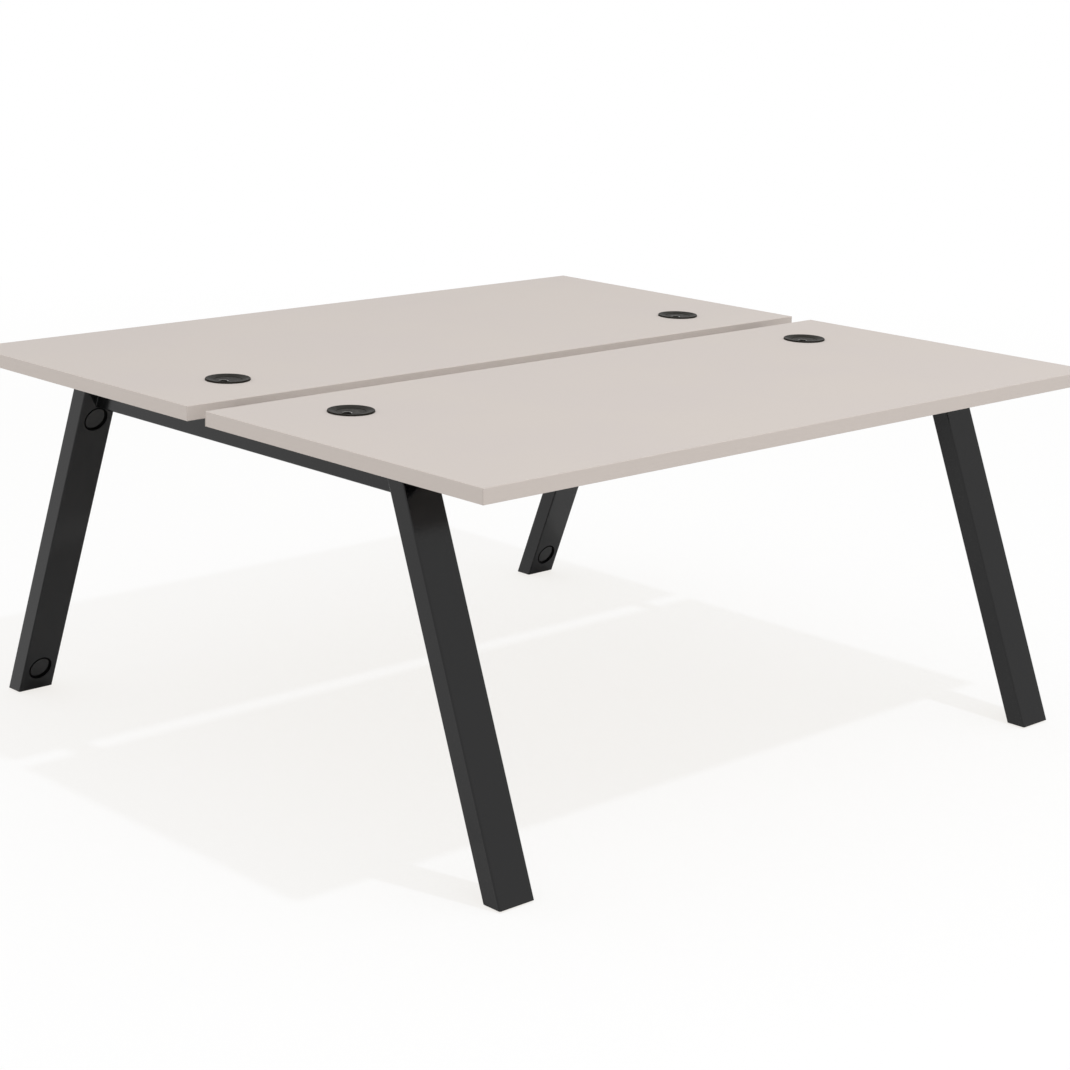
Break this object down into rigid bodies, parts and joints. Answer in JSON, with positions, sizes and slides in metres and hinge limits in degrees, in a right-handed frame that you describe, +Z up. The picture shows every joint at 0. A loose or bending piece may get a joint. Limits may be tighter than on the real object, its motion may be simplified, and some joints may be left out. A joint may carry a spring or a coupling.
{
  "type": "benching desk for two",
  "caption": "Back-to-back bench desk: beige worktops with a cable gap and round cable ports, on a black steel frame with splayed flat-tube legs.",
  "frame": {"origin": "on the floor under the middle of the desk", "axes": "+X along the desk, +Y from the front user's side to the rear user's side, +Z up"},
  "size_m": [1.68, 1.555, 0.7435],
  "materials": {
    "laminate": "matt warm beige melamine on particle board",
    "edge_band": "matt beige plastic edging",
    "black_paint": "smooth semi-gloss black powder coat",
    "black_plastic": "satin black moulded plastic",
    "zinc_steel": "zinc plated"
  },
  "bodies": {
    "desk": {"worktop_front": "laminate", "edge_band_front_user": "edge_band", "edge_band_front_gap": "edge_band", "edge_band_front_left": "edge_band", "edge_band_front_right": "edge_band", "beam_front_inner": "black_paint", "beam_front_outer": "black_paint", "worktop_rear": "laminate", "edge_band_rear_user": "edge_band", "edge_band_rear_gap": "edge_band", "edge_band_rear_left": "edge_band", "edge_band_rear_right": "edge_band", "beam_rear_inner": "black_paint", "beam_rear_outer": "black_paint", "end_rail_left": "black_paint", "end_rail_right": "black_paint", "leg_front_left": "black_paint", "head_plate_front_left": "black_paint", "arm_front_left": "black_paint", "foot_insert_front_left": "black_plastic", "port_ring_front_left": "black_plastic", "leg_front_right": "black_paint", "head_plate_front_right": "black_paint", "arm_front_right": "black_paint", "foot_insert_front_right": "black_plastic", "port_ring_front_right": "black_plastic", "leg_rear_left": "black_paint", "head_plate_rear_left": "black_paint", "arm_rear_left": "black_paint", "foot_insert_rear_left": "black_plastic", "port_ring_rear_left": "black_plastic", "leg_rear_right": "black_paint", "head_plate_rear_right": "black_paint", "arm_rear_right": "black_paint", "foot_insert_rear_right": "black_plastic", "port_ring_rear_right": "black_plastic"},
    "port_lid_front_left": {"port_lid_front_left": "black_plastic"},
    "port_lid_front_right": {"port_lid_front_right": "black_plastic"},
    "port_lid_rear_left": {"port_lid_rear_left": "black_plastic"},
    "port_lid_rear_right": {"port_lid_rear_right": "black_plastic"},
    "leveller_front_left": {"leveller_front_left": "zinc_steel"},
    "leveller_front_right": {"leveller_front_right": "zinc_steel"},
    "leveller_rear_left": {"leveller_rear_left": "zinc_steel"},
    "leveller_rear_right": {"leveller_rear_right": "zinc_steel"},
    "access_plug_lower_front_left": {"access_plug_lower_front_left": "black_plastic"},
    "access_plug_lower_front_right": {"access_plug_lower_front_right": "black_plastic"},
    "access_plug_lower_rear_left": {"access_plug_lower_rear_left": "black_plastic"},
    "access_plug_lower_rear_right": {"access_plug_lower_rear_right": "black_plastic"},
    "access_plug_upper_front_left": {"access_plug_upper_front_left": "black_plastic"},
    "access_plug_upper_front_right": {"access_plug_upper_front_right": "black_plastic"},
    "access_plug_upper_rear_left": {"access_plug_upper_rear_left": "black_plastic"},
    "access_plug_upper_rear_right": {"access_plug_upper_rear_right": "black_plastic"}
  },
  "joints": [
    {"name": "lid_turn_front_left", "type": "hinge", "parent": "desk", "child": "port_lid_front_left", "pos_m": [-0.63, -0.1875, 0.74], "axis": [0, 0, 1], "continuous": true},
    {"name": "lid_turn_front_right", "type": "hinge", "parent": "desk", "child": "port_lid_front_right", "pos_m": [0.63, -0.1875, 0.74], "axis": [0, 0, 1], "continuous": true},
    {"name": "lid_turn_rear_left", "type": "hinge", "parent": "desk", "child": "port_lid_rear_left", "pos_m": [-0.63, 0.1875, 0.74], "axis": [0, 0, 1], "continuous": true},
    {"name": "lid_turn_rear_right", "type": "hinge", "parent": "desk", "child": "port_lid_rear_right", "pos_m": [0.63, 0.1875, 0.74], "axis": [0, 0, 1], "continuous": true},
    {"name": "leveller_screw_front_left", "type": "slide", "parent": "desk", "child": "leveller_front_left", "axis": [0, 0, -1], "range_m": [0, 0.012]},
    {"name": "leveller_screw_front_right", "type": "slide", "parent": "desk", "child": "leveller_front_right", "axis": [0, 0, -1], "range_m": [0, 0.012]},
    {"name": "leveller_screw_rear_left", "type": "slide", "parent": "desk", "child": "leveller_rear_left", "axis": [0, 0, -1], "range_m": [0, 0.012]},
    {"name": "leveller_screw_rear_right", "type": "slide", "parent": "desk", "child": "leveller_rear_right", "axis": [0, 0, -1], "range_m": [0, 0.012]},
    {"name": "plug_pull_lower_front_left", "type": "slide", "parent": "desk", "child": "access_plug_lower_front_left", "axis": [0, 0.9336, -0.3584], "range_m": [0, 0.03]},
    {"name": "plug_pull_lower_front_right", "type": "slide", "parent": "desk", "child": "access_plug_lower_front_right", "axis": [0, 0.9336, -0.3584], "range_m": [0, 0.03]},
    {"name": "plug_pull_lower_rear_left", "type": "slide", "parent": "desk", "child": "access_plug_lower_rear_left", "axis": [0, -0.9336, -0.3584], "range_m": [0, 0.03]},
    {"name": "plug_pull_lower_rear_right", "type": "slide", "parent": "desk", "child": "access_plug_lower_rear_right", "axis": [0, -0.9336, -0.3584], "range_m": [0, 0.03]},
    {"name": "plug_pull_upper_front_left", "type": "slide", "parent": "desk", "child": "access_plug_upper_front_left", "axis": [0, 0.9336, -0.3584], "range_m": [0, 0.03]},
    {"name": "plug_pull_upper_front_right", "type": "slide", "parent": "desk", "child": "access_plug_upper_front_right", "axis": [0, 0.9336, -0.3584], "range_m": [0, 0.03]},
    {"name": "plug_pull_upper_rear_left", "type": "slide", "parent": "desk", "child": "access_plug_upper_rear_left", "axis": [0, -0.9336, -0.3584], "range_m": [0, 0.03]},
    {"name": "plug_pull_upper_rear_right", "type": "slide", "parent": "desk", "child": "access_plug_upper_rear_right", "axis": [0, -0.9336, -0.3584], "range_m": [0, 0.03]}
  ]
}
